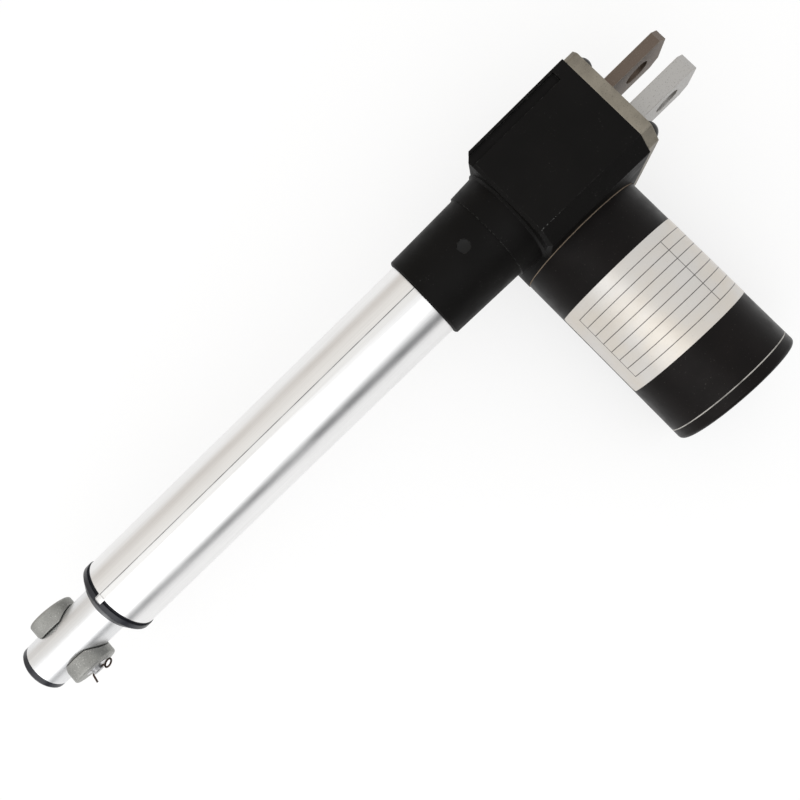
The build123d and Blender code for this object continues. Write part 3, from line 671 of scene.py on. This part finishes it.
@dataclass(frozen=True)
class Foil(Finish):
    """A bare metal foil plate with plain ruled rows round the motor."""

    ink: Color = (0.035, 0.032, 0.03)
    first_row: float = 54.0 * MM
    row_pitch: float = 5.0 * MM
    row_width: float = 0.38 * MM
    last_row: float = 89.0 * MM
    axis_x: float = 60.2 * MM
    axis_z: float = -27.3 * MM
    radius: float = 32.4 * MM
    row_ends: Span = (0.24, 2.7)
    divider: float = 1.05
    cloud: Pattern = Pattern(20 * MM, 0.3, 0.7)
    warmth: Color = (1.0, 0.96, 0.9)
    fleck: Pattern = Pattern(0.5 * MM, 0.72, 0.78, high=0.25, detail=1.0)
    print_wear: Pattern = Pattern(0.9 * MM, 0.2, 0.5, 0.65, 0.9, detail=2.0)
    rough: Pattern = Pattern(8 * MM, 0.3, 0.7, -0.03, 0.05)
    ripple: float = 3 * MM
    ripple_depth: float = 0.012 * MM

    def rows(self, sheet: ShaderSheet) -> bpy.types.NodeSocket:
        """Rules the plate.

        Args:
            sheet: The node tree.

        Returns:
            A mask that is 1 on the ruled rows.
        """
        parts = sheet.split(sheet.place((self.axis_x, 0.0, self.axis_z)))
        along = parts.outputs["Y"]
        steps = sheet.sum("DIVIDE", sheet.sum("SUBTRACT", along, self.first_row), self.row_pitch)
        half = 0.5 * self.row_width / self.row_pitch
        row = sheet.remap(sheet.sum("PINGPONG", steps, 0.5), 1.3 * half, 0.7 * half)
        turn = sheet.sum("ARCTAN2", parts.outputs["Z"], sheet.sum("MULTIPLY", parts.outputs["X"], -1.0))
        for end in (*self.row_ends, self.divider):
            width = self.row_width / self.radius
            column = sheet.remap(sheet.distance(turn, end), 0.65 * width, 0.35 * width)
            row = sheet.sum("MAXIMUM", row, column)
        margin = 0.5 * self.row_width
        after = sheet.sum("GREATER_THAN", along, self.first_row - margin)
        before = sheet.sum("LESS_THAN", along, self.last_row + margin)
        opened = sheet.sum("GREATER_THAN", turn, self.row_ends[0] - margin / self.radius)
        closed = sheet.sum("LESS_THAN", turn, self.row_ends[1] + margin / self.radius)
        return sheet.times(row, after, before, opened, closed)

    def paint(self, sheet: ShaderSheet) -> None:
        """Fills the sheet.

        Args:
            sheet: The node tree with only its shader.
        """
        place = sheet.place()
        warmer = tuple(part * share for part, share in zip(self.color, self.warmth))
        base = sheet.blend(sheet.pattern(place, self.cloud), self.color, warmer)
        spotted = sheet.blend(sheet.pattern(place, self.fleck), base, self.ink)
        ruled = sheet.times(self.rows(sheet), sheet.pattern(place, self.print_wear))
        sheet.feed(sheet.shader, "Base Color", sheet.blend(ruled, spotted, self.ink))
        self.roughen(sheet, place)
        sheet.relief(sheet.noise(place, self.ripple, 2.0), self.ripple_depth)


BLACK_PLASTIC = Moulded(
    "black_moulded_plastic",
    (0.0034, 0.0031, 0.0029),
    roughness=0.5,
    shine=0.08,
    chipped_at=(76 * MM, 18.7 * MM, 27.4 * MM),
)
PIN_PLASTIC = Moulded("lock_pin_plastic", (0.005, 0.005, 0.0048), roughness=0.45, shine=0.2)
GUIDE_PLASTIC = Moulded(
    "guide_ring_plastic", (0.006, 0.007, 0.012), roughness=0.33, shine=0.5, scuff_share=0.2
)
BLACK_RUBBER = Moulded("sealing_rubber", (0.012, 0.012, 0.012), roughness=0.7, shine=0.2, scuff_share=0.0)
NYLON = Moulded(
    "natural_nylon", (0.7, 0.67, 0.58), roughness=0.4, dust=(0.4, 0.38, 0.33), scuff=(0.5, 0.48, 0.42)
)
BOARD = Moulded("lacquered_board", (0.02, 0.12, 0.05), roughness=0.3, scuff=(0.1, 0.3, 0.15))
GASKET = Moulded("tan_fibre_gasket", (0.2, 0.155, 0.115), roughness=0.8, shine=0.1, scuff_share=0.0)
TUBE_METAL = Drawn(
    "anodised_tube",
    (0.88, 0.877, 0.873),
    roughness=0.33,
    line_depth=0.0008 * MM,
    soft_edge=0.0,
    # where the painted shade line of the groove lies
    shaded_groove_y=-2.66 * MM,
)
ROD_METAL = Drawn("anodised_rod", (0.82, 0.825, 0.83), roughness=0.38, line_depth=0.0008 * MM, soft_edge=0.0)
STEEL_X = Drawn("turned_steel", (0.5, 0.5, 0.51), roughness=0.25)
STEEL_Y = Drawn("motor_steel", (0.45, 0.45, 0.46), roughness=0.25, along=Along.MOTOR)
# the clevis ears carry painted shade and painted light, set by side
CLEVIS_METAL = EarCasting("clevis_casting", (0.27, 0.245, 0.2), grain=0.45 * MM, sparkle=0.12)
SADDLE_METAL = Cast("saddle_casting", (0.37, 0.37, 0.352), roughness=0.48, grain=0.55 * MM, sparkle=0.5)
ZINC = Cast("zinc_casting", (0.45, 0.45, 0.47))
FERRITE = Cast("ferrite", (0.05, 0.05, 0.055), metallic=0.2, sparkle=0.1)
CORE_STEEL = Cast("stacked_core_steel", (0.2, 0.2, 0.21), grain=0.4 * MM)
CARBON = Cast("pressed_carbon", (0.03, 0.03, 0.032), metallic=0.3, sparkle=0.1)
BRONZE = Cast("sintered_bronze", (0.55, 0.33, 0.14), grain=0.4 * MM)
COPPER = Cast("copper", (0.7, 0.3, 0.15), roughness=0.3, grain=0.5 * MM, sparkle=0.1)
BROWNED_STEEL = Cast("browned_spring_steel", (0.06, 0.035, 0.025), metallic=0.7, sparkle=0.2)
BLACK_OXIDE = Enamel("black_oxide", (0.008, 0.0075, 0.007), roughness=0.35, shine=0.35)
# rim_at places the painted highlight line at the can-to-cap joint
BLACK_ENAMEL = Enamel(
    "black_motor_enamel", (0.004, 0.003, 0.0028), roughness=0.36, shine=0.1, rim_at=119 * MM
)
SILVER_FOIL = Foil("silver_foil", (0.62, 0.6, 0.575), roughness=0.36, metallic=0.55)


def dress(finish: Finish, *nodes: str) -> None:
    """Gives CAD nodes their finish.

    Args:
        finish: The finish.
        *nodes: The nodes' names.
    """
    for name in nodes:
        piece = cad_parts[name]
        piece.data.materials.clear()
        piece.data.materials.append(finish.material())
        log.info("%s has the finish %s", name, finish.name)


class Bench:
    """Shapes one turned piece round the Z axis, as by hand, and then lays it in place."""

    def __init__(self, name: str) -> None:
        """Starts a piece as one point.

        Args:
            name: The piece's name.
        """
        bpy.ops.object.select_all(action="DESELECT")
        bpy.ops.mesh.primitive_plane_add(size=MM)
        self.piece = bpy.context.object
        self.piece.name = name
        self.piece.data.name = name
        bpy.ops.object.mode_set(mode="EDIT")
        bpy.ops.mesh.select_all(action="SELECT")
        bpy.ops.mesh.merge(type="CENTER")

    def draw(self, outline: list[tuple[float, float]]) -> None:
        """Draws half of the section by extruding the point.

        Args:
            outline: Points as radius and height, in metres.
        """
        (radius, height), *others = outline
        bpy.ops.transform.translate(value=(radius, 0.0, height))
        for next_radius, next_height in others:
            step = (next_radius - radius, 0.0, next_height - height)
            bpy.ops.mesh.extrude_region_move(TRANSFORM_OT_translate={"value": step})
            radius, height = next_radius, next_height

    def turn(self, rise: float = 0.0, turns: int = 1, steps: int = 48) -> None:
        """Turns the drawn section round the axis.

        Args:
            rise: How far one turn climbs, in metres.
            turns: How many turns there are.
            steps: How many sides one turn has.
        """
        bpy.ops.object.mode_set(mode="OBJECT")
        screw = self.piece.modifiers.new("turn", "SCREW")
        screw.axis = "Z"
        screw.angle = 2 * math.pi
        screw.screw_offset = rise
        screw.iterations = turns
        screw.steps = steps
        screw.render_steps = steps
        bpy.ops.object.modifier_apply(modifier=screw.name)
        bpy.ops.object.mode_set(mode="EDIT")
        bpy.ops.mesh.select_all(action="SELECT")
        bpy.ops.mesh.remove_doubles(threshold=MERGE)
        bpy.ops.mesh.normals_make_consistent(inside=False)
        bpy.ops.object.mode_set(mode="OBJECT")

    def trim(self, start: float, end: float) -> None:
        """Cuts both ends square and closes them.

        Args:
            start: The lower cut's height, in metres.
            end: The upper cut's height, in metres.
        """
        bpy.ops.object.mode_set(mode="EDIT")
        for height, keeps_above in ((start, True), (end, False)):
            bpy.ops.mesh.select_all(action="SELECT")
            bpy.ops.mesh.bisect(
                plane_co=(0, 0, height),
                plane_no=(0, 0, 1),
                use_fill=True,
                clear_inner=keeps_above,
                clear_outer=not keeps_above,
                threshold=MERGE,
            )
        bpy.ops.mesh.select_all(action="SELECT")
        bpy.ops.mesh.remove_doubles(threshold=MERGE)
        bpy.ops.mesh.normals_make_consistent(inside=False)
        bpy.ops.object.mode_set(mode="OBJECT")

    def combine(self, other: bpy.types.Object, operation: str) -> None:
        """Joins another solid to the piece or cuts it out.

        Args:
            other: The other solid, which is used up.
            operation: UNION or DIFFERENCE.
        """
        change = self.piece.modifiers.new("combine", "BOOLEAN")
        change.operation = operation
        change.solver = "EXACT"
        change.object = other
        bpy.ops.object.select_all(action="DESELECT")
        self.piece.select_set(True)
        bpy.context.view_layer.objects.active = self.piece
        bpy.ops.object.modifier_apply(modifier=change.name)
        bpy.data.objects.remove(other)

    def lay(self, along: Along, place: Point = (0, 0, 0)) -> bpy.types.Object:
        """Turns the piece's axis along the tube or the motor and applies its place.

        Args:
            along: The direction of the axis.
            place: Where the axis starts, in metres.

        Returns:
            The piece, with its place in its mesh.
        """
        quarter = math.pi / 2
        self.piece.rotation_euler = (0, quarter, 0) if along is Along.TUBE else (-quarter, 0, 0)
        self.piece.location = place
        bpy.ops.object.select_all(action="DESELECT")
        self.piece.select_set(True)
        bpy.context.view_layer.objects.active = self.piece
        bpy.ops.object.transform_apply(location=True, rotation=True, scale=True)
        bpy.ops.object.shade_smooth_by_angle(angle=SMOOTH_ANGLE)
        return self.piece


@dataclass(frozen=True)
class Thread:
    """A screw thread with flat crests and sloping flanks, right-handed."""

    crest: float
    root: float
    pitch: float
    flat_share: float = 0.3
    steps: int = 24
    lead_in: float = 1.8
    spare_turns: int = 3

    def model(self, start: float, end: float) -> bpy.types.Object:
        """Models a threaded length with closed ends.

        Args:
            start: Where it starts along the axis, in metres.
            end: Where it ends along the axis, in metres.

        Returns:
            The solid, round the Z axis.
        """
        bench = Bench("thread")
        below = start - self.lead_in * self.pitch
        flat = self.flat_share * self.pitch
        flank = 0.5 * self.pitch - flat
        bench.draw(
            [
                (self.root, below),
                (self.root, below + flat),
                (self.crest, below + flat + flank),
                (self.crest, below + 2 * flat + flank),
                (self.root, below + self.pitch),
            ]
        )
        turns = math.ceil((end - start) / self.pitch) + self.spare_turns
        bench.turn(self.pitch, turns, self.steps)
        bench.trim(start, end)
        return bench.piece


def settle(piece: bpy.types.Object, finish: Finish, body: str, node: str) -> None:
    """Gives a modelled piece its finish and says what it stands for.

    Args:
        piece: The piece.
        finish: Its finish.
        body: The body that it moves with.
        node: The node that it replaces.
    """
    piece.data.materials.clear()
    piece.data.materials.append(finish.material())
    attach(piece, body)
    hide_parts(node)
    log.info("%s stands for %s with %d faces", piece.name, node, len(piece.data.polygons))


@dataclass
class GearCase:
    """The gear housing with the clevis plate and its screws."""

    def build(self) -> None:
        """Dresses the case."""
        dress(BLACK_PLASTIC, "gear_housing")
        dress(CLEVIS_METAL, "rear_clevis")
        dress(BLACK_OXIDE, "clevis_screws")
        dress(PIN_PLASTIC, "tube_lock_screw")
        dress(ZINC, "bearing_block")
        dress(STEEL_X, "rear_bearing_outer", "front_bearing_outer")
        dress(BLACK_RUBBER, "collar_seal")


@dataclass
class TubeUnit:
    """The outer tube with what it holds."""

    def build(self) -> None:
        """Dresses the tube and its fittings."""
        dress(TUBE_METAL, "outer_tube")
        dress(GUIDE_PLASTIC, "front_guide_ring", "limit_switches")
        dress(BLACK_RUBBER, "wiper_seal")
        dress(BOARD, "switch_strip")


@dataclass
class RodUnit:
    """The push rod and the fittings at both of its ends."""

    def build(self) -> None:
        """Dresses the rod and its fittings."""
        dress(ROD_METAL, "push_rod")
        dress(GUIDE_PLASTIC, "rod_plug")
        dress(SADDLE_METAL, "left_saddle", "right_saddle")
        dress(STEEL_Y, "clevis_pin")
        dress(BROWNED_STEEL, "cotter_pin")
        dress(BRONZE, "cross_bush")
        dress(NYLON, "drive_nut")


@dataclass
class SpindleUnit:
    """The lead screw with its wheel and bearing rings."""

    thread: Thread = Thread(crest=6.0 * MM, root=4.0 * MM, pitch=4.0 * MM)
    thread_start: float = 84.0 * MM
    plain_end: float = 3.0 * MM
    run_out: float = 2.0 * MM
    core_gap: float = 0.05 * MM
    chamfer: float = 0.8 * MM

    def screw(self) -> None:
        """Models the lead screw: a plain bearing seat, the long thread and a plain end."""
        low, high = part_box("lead_screw")
        radius = high[2]
        core = self.thread.root - self.core_gap
        thread_end = high[0] - self.plain_end
        bench = Bench("lead_screw_turned")
        bench.draw(
            [
                (0.0, low[0]),
                (radius - self.chamfer, low[0]),
                (radius, low[0] + self.chamfer),
                (radius, self.thread_start),
                (core, self.thread_start + self.run_out),
                (core, thread_end - self.run_out),
                (radius, thread_end),
                (radius, high[0] - self.chamfer),
                (radius - self.chamfer, high[0]),
                (0.0, high[0]),
            ]
        )
        bench.turn()
        inset = 0.5 * self.run_out
        bench.combine(self.thread.model(self.thread_start + inset, thread_end - inset), "UNION")
        settle(bench.lay(Along.TUBE), STEEL_X, "spindle", "lead_screw")

    def build(self) -> None:
        """Models the screw and dresses the spindle."""
        self.screw()
        dress(STEEL_X, "spindle_lock_nut", "spindle_stop")
        dress(STEEL_X, "rear_bearing_inner", "front_bearing_inner")
        dress(BROWNED_STEEL, "spindle_clip")
        dress(NYLON, "worm_wheel")


@dataclass
class MotorUnit:
    """The motor from its gasket to its end cap, with the armature."""

    bolt_head_radius: float = 3.2 * MM
    bolt_head_height: float = 2.4 * MM
    bolt_radius: float = 2.0 * MM
    bolt_edge: float = 0.4 * MM
    socket_radius: float = 1.75 * MM
    socket_depth: float = 1.6 * MM
    thread: Thread = Thread(crest=2.0 * MM, root=1.6 * MM, pitch=0.7 * MM, flat_share=0.12)
    threaded_length: float = 9.0 * MM
    core_gap: float = 0.02 * MM
    sides: int = 32

    def bolt(self, name: str, start: float, end: float) -> Bench:
        """Models one long cap screw with its hexagon socket and its thread.

        Args:
            name: The piece's name.
            start: Where its tip lies along the motor, in metres.
            end: Where its head's face lies, in metres.

        Returns:
            The bench with the bolt on it.
        """
        under_head = end - self.bolt_head_height
        thread_end = start + self.threaded_length
        core = self.thread.root - self.core_gap
        bench = Bench(name)
        bench.draw(
            [
                (0.0, start),
                (core, start),
                (core, thread_end),
                (self.bolt_radius, thread_end + self.bolt_edge),
                (self.bolt_radius, under_head),
                (self.bolt_head_radius, under_head),
                (self.bolt_head_radius, end - self.bolt_edge),
                (self.bolt_head_radius - self.bolt_edge, end),
                (0.0, end),
            ]
        )
        bench.turn(steps=self.sides)
        bpy.ops.object.select_all(action="DESELECT")
        bpy.ops.mesh.primitive_cylinder_add(
            vertices=HEXAGON, radius=self.socket_radius, depth=2 * self.socket_depth, location=(0, 0, end)
        )
        bench.combine(bpy.context.object, "DIFFERENCE")
        bench.combine(self.thread.model(start + self.bolt_edge, thread_end), "UNION")
        return bench

    def bolts(self) -> None:
        """Models the two long screws that hold the end cap."""
        low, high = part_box("motor_bolts")
        height = 0.5 * (low[2] + high[2])
        reach = self.bolt_head_radius
        for name, x in (("motor_bolt_rear", low[0] + reach), ("motor_bolt_front", high[0] - reach)):
            bench = self.bolt(name, low[1], high[1])
            piece = bench.lay(Along.MOTOR, (x, 0.0, height))
            settle(piece, BLACK_OXIDE, "housing", "motor_bolts")

    def build(self) -> None:
        """Models the long screws and dresses the motor."""
        self.bolts()
        dress(GASKET, "motor_gasket")
        dress(BLACK_ENAMEL, "motor_can", "motor_end_cap")
        dress(SILVER_FOIL, "motor_label")
        dress(ZINC, "motor_flange")
        dress(FERRITE, "motor_magnets")
        dress(NYLON, "brush_card", "insulation_sleeves")
        dress(CARBON, "carbon_brushes")
        dress(GUIDE_PLASTIC, "power_inlet")
        dress(BRONZE, "inlet_pins", "shaft_bush")
        dress(STEEL_Y, "motor_front_bearing_outer", "motor_rear_bearing_outer")
        dress(STEEL_Y, "motor_front_bearing_inner", "motor_rear_bearing_inner")
        dress(STEEL_Y, "motor_shaft", "worm")
        dress(CORE_STEEL, "armature_core")
        dress(COPPER, "armature_winding", "commutator")


@dataclass
class Studio:
    """The pale floor, the soft light and the camera."""

    floor_gap: float = 0.3 * MM
    floor_reach: float = 6.0
    floor_color: Color = (0.97, 0.97, 0.97)
    floor_glow: float = 0.72
    floor_roughness: float = 0.9
    floor_shine: float = 0.1
    overhead_light: Color = (0.96, 0.965, 0.97)
    far_side_light: Color = (0.9, 0.875, 0.84)
    dark_wall: Color = (0.02, 0.022, 0.027)
    warm_wall: Color = (0.66, 0.62, 0.58)
    wall_height: float = 0.2
    wall_half: float = 0.36
    ceiling_span: Span = (-0.6, 0.05)
    dark_wall_span: Span = (0.55, 0.85)
    warm_wall_span: Span = (-0.55, -0.85)
    key_direction: Point = (0.5, 0.42, 0.75)
    key_distance: float = 1.3
    key_width: float = 1.5
    key_power: float = 7.0
    camera_place: Point = (142.8 * MM, 66.6 * MM, 365.5 * MM)
    camera_forward: Point = (0.07744, -0.11188, -0.9907)
    camera_up: Point = (-0.69165, -0.72171, 0.02744)
    lens: float = 37.55
    clip_start: float = 0.01

    def floor(self, lowest: float) -> None:
        """Lays the floor, which glows partly for direct sight and for reflections.

        Args:
            lowest: The object's lowest point, in metres.
        """
        bpy.ops.object.select_all(action="DESELECT")
        bpy.ops.mesh.primitive_plane_add(size=self.floor_reach, location=(0, 0, lowest - self.floor_gap))
        ground = bpy.context.object
        ground.name = "floor"
        sheet = ShaderSheet("pale_floor")
        sheet.feed(sheet.shader, "Base Color", (*self.floor_color, 1.0))
        sheet.feed(sheet.shader, "Roughness", self.floor_roughness)
        sheet.feed(sheet.shader, "Specular IOR Level", self.floor_shine)
        glow = sheet.add("ShaderNodeEmission")
        ray = sheet.add("ShaderNodeLightPath")
        seen = sheet.sum("MAXIMUM", ray.outputs["Is Camera Ray"], ray.outputs["Is Glossy Ray"])
        seen = sheet.sum("MAXIMUM", seen, ray.outputs["Is Transmission Ray"])
        mix = sheet.add("ShaderNodeMixShader")
        sheet.feed(mix, 0, sheet.sum("MULTIPLY", seen, self.floor_glow))
        sheet.feed(mix, 1, sheet.shader.outputs[0])
        sheet.feed(mix, 2, glow.outputs[0])
        sheet.feed(sheet.nodes["Material Output"], "Surface", mix.outputs[0])
        ground.data.materials.append(sheet.material)
        ground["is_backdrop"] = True

    def sky(self) -> None:
        """Fills the world with soft light, with darker walls low on the two long sides."""
        world = bpy.data.worlds.new("soft_sky")
        world.use_nodes = True
        bpy.context.scene.world = world
        sheet = ShaderSheet.on_tree(world.node_tree, "Background")
        parts = sheet.split(sheet.add("ShaderNodeTexCoord").outputs["Generated"])
        side = sheet.remap(parts.outputs["Y"], *self.ceiling_span)
        ceiling = sheet.blend(side, self.far_side_light, self.overhead_light)
        off = sheet.distance(parts.outputs["Z"], self.wall_height)
        band = sheet.remap(off, self.wall_half, 0.2 * self.wall_half)
        near = sheet.remap(parts.outputs["Y"], *self.dark_wall_span)
        far = sheet.remap(parts.outputs["Y"], *self.warm_wall_span)
        walled = sheet.blend(sheet.times(band, far), ceiling, self.warm_wall)
        sheet.feed(sheet.shader, "Color", sheet.blend(sheet.times(band, near), walled, self.dark_wall))

    def lamp(self, name: str, direction: Point, distance: float, width: float, power: float) -> None:
        """Hangs one soft lamp that points at the object's middle.

        Args:
            name: The lamp's name.
            direction: The way from the object to the lamp.
            distance: How far away it hangs, in metres.
            width: The side of its square, in metres.
            power: Its power, in watts.
        """
        low, high = (Vector(corner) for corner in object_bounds())
        middle = (low + high) / 2
        away = Vector(direction).normalized()
        bpy.ops.object.light_add(type="AREA", location=middle + away * distance)
        lamp = bpy.context.object
        lamp.name = name
        lamp.data.size = width
        lamp.data.energy = power
        lamp.rotation_euler = away.to_track_quat("Z", "Y").to_euler()

    def camera(self) -> None:
        """Sets the camera at the photograph's viewpoint."""
        forward = Vector(self.camera_forward).normalized()
        up = Vector(self.camera_up)
        right = forward.cross(up).normalized()
        up = right.cross(forward)
        turn = Matrix((right, up, -forward)).transposed()
        bpy.ops.object.camera_add(location=self.camera_place, rotation=turn.to_euler())
        camera = bpy.context.object
        camera.data.lens = self.lens
        camera.data.clip_start = self.clip_start
        bpy.context.scene.camera = camera

    def build(self) -> None:
        """Sets the floor, light and camera."""
        low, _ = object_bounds()
        self.floor(low[2])
        self.sky()
        self.lamp("key_lamp", self.key_direction, self.key_distance, self.key_width, self.key_power)
        self.camera()
        bpy.context.scene.view_settings.view_transform = "Standard"


def main() -> None:
    """Dresses the actuator and lights it."""
    logging.basicConfig(level=logging.INFO, format="%(name)s: %(message)s")
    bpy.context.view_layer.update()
    for unit in (GearCase(), TubeUnit(), RodUnit(), SpindleUnit(), MotorUnit()):
        unit.build()
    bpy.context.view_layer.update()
    Studio().build()


if __name__ == "__main__":
    main()
